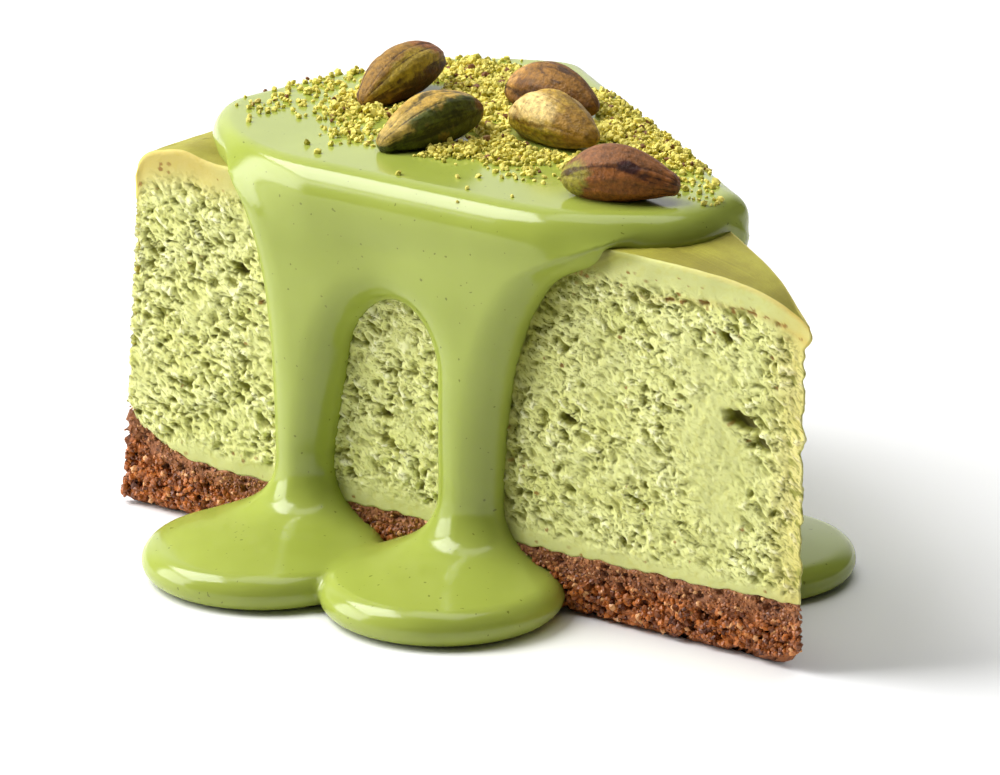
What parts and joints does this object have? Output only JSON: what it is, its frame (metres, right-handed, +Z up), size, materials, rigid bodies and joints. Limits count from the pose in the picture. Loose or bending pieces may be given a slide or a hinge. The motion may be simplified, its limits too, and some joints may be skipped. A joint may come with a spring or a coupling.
{
  "type": "slice of glazed cheesecake",
  "caption": "Wedge slice of green pistachio cheesecake on a biscuit crust, with poured glaze in streams and pools, crushed nuts and whole kernels.",
  "frame": {"origin": "middle of the box round the whole slice and its pools, on the surface it stands on", "axes": "+X towards the slice's tip, +Z up, the cut face with the two streams on the -Y side"},
  "size_m": [0.1142, 0.0872, 0.0642],
  "materials": {
    "biscuit": "rough baked crumb",
    "filling": "moist torn crumb",
    "glaze": "high gloss poured sauce",
    "nut": "dry wrinkled skin with a faint sheen"
  },
  "bodies": {
    "root": {"crust": "biscuit", "filling": "filling", "glaze": "glaze", "kernel_1": "nut", "kernel_2": "nut", "kernel_3": "nut", "kernel_4": "nut", "kernel_5": "nut"}
  },
  "joints": []
}
